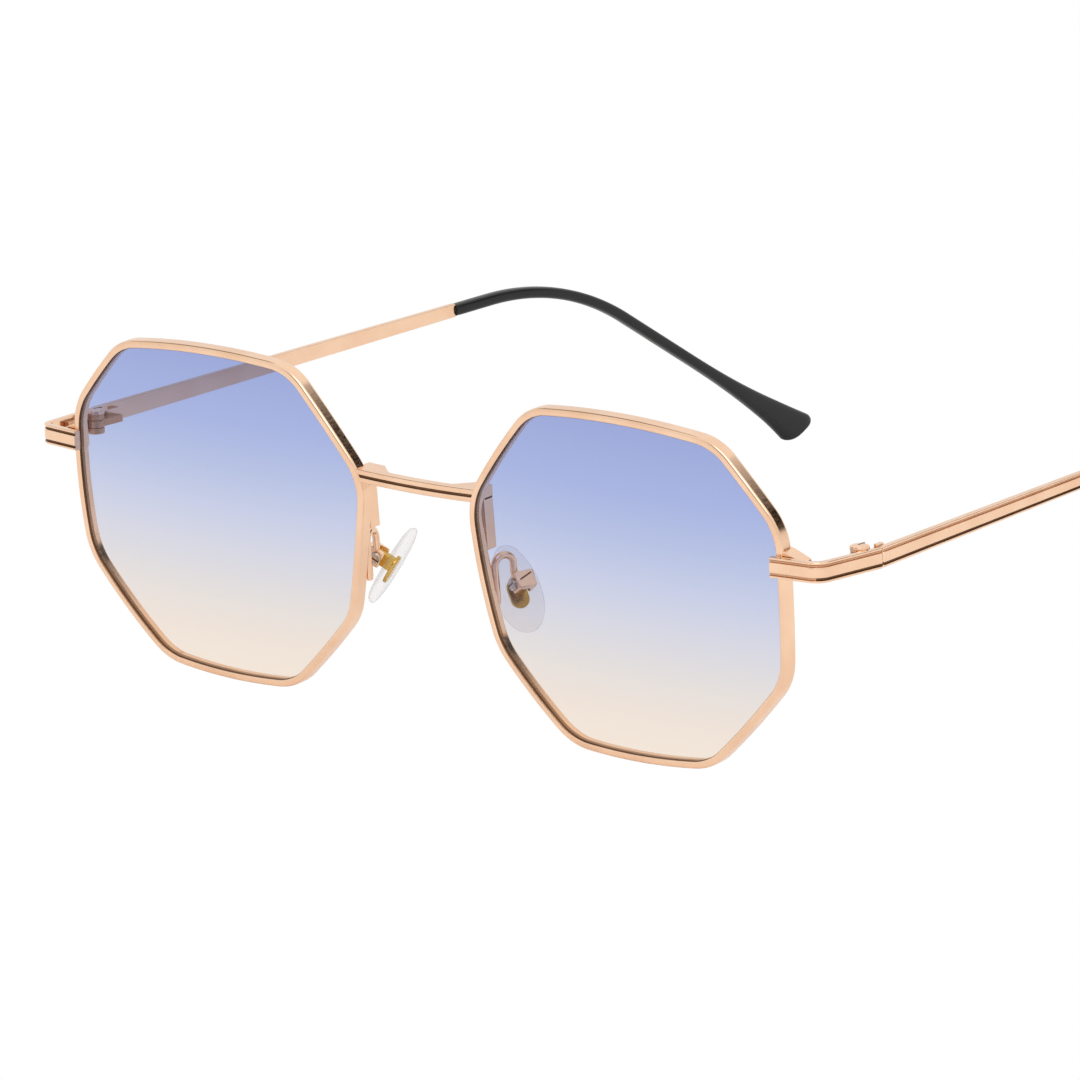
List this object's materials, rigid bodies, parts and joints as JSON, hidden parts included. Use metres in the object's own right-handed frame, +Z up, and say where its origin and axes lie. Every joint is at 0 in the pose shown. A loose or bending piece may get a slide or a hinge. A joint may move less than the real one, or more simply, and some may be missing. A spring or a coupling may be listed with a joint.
{
  "type": "polygonal metal sunglasses",
  "caption": "Eight-sided wire rims with gradient lenses on a slim bridge with rocking nose pads and grooved strip temples that fold on screwed hinges.",
  "frame": {"origin": "Bottom centre of the bounding box, on the surface that the open glasses stand on with the two rims and the two temple tips.", "axes": "+X to the wearer's left, +Y from the front back along the temples, +Z up."},
  "size_m": [0.1398, 0.161, 0.0465],
  "materials": {
    "gold_metal": "polished rose gold plating",
    "screw_steel": "turned and slotted",
    "tinted_lens": "clear gradient tint, darker at the top",
    "pad_silicone": "clear, smooth",
    "pad_core": "satin",
    "dark_tip": "satin"
  },
  "bodies": {
    "front": {"rim_left": "gold_metal", "rim_right": "gold_metal", "lens_left": "tinted_lens", "lens_right": "tinted_lens", "bridge": "gold_metal", "end_piece_left": "gold_metal", "end_piece_right": "gold_metal", "block_upper_left": "gold_metal", "block_upper_right": "gold_metal", "block_lower_left": "gold_metal", "block_lower_right": "gold_metal", "rim_screw_left": "screw_steel", "rim_screw_right": "screw_steel", "pad_arm_left": "gold_metal", "pad_arm_right": "gold_metal", "pad_box_left": "gold_metal", "pad_box_right": "gold_metal", "pad_screw_left": "screw_steel", "pad_screw_right": "screw_steel", "hinge_front_left": "gold_metal", "hinge_front_right": "gold_metal", "hinge_screw_left": "screw_steel", "hinge_screw_right": "screw_steel"},
    "temple_left": {"hinge_rear_left": "gold_metal", "temple_left": "gold_metal", "temple_tip_left": "dark_tip"},
    "temple_right": {"hinge_rear_right": "gold_metal", "temple_right": "gold_metal", "temple_tip_right": "dark_tip"},
    "pad_left": {"pad_insert_left": "pad_core", "nose_pad_left": "pad_silicone"},
    "pad_right": {"pad_insert_right": "pad_core", "nose_pad_right": "pad_silicone"}
  },
  "joints": [
    {"name": "temple_left_fold", "type": "hinge", "parent": "front", "child": "temple_left", "pos_m": [0.06747, -0.06953, 0.03005], "axis": [0, 0, 1], "range_deg": [0, 90]},
    {"name": "temple_right_fold", "type": "hinge", "parent": "front", "child": "temple_right", "pos_m": [-0.06747, -0.06953, 0.03005], "axis": [0, 0, -1], "range_deg": [0, 86]},
    {"name": "pad_left_rock", "type": "hinge", "parent": "front", "child": "pad_left", "pos_m": [0.0128, -0.07238, 0.01952], "axis": [0.4067, 0.9111, 0.0669], "range_deg": [-6, 6]},
    {"name": "pad_right_rock", "type": "hinge", "parent": "front", "child": "pad_right", "pos_m": [-0.0128, -0.07238, 0.01952], "axis": [-0.4067, 0.9111, 0.0669], "range_deg": [-6, 6]}
  ]
}
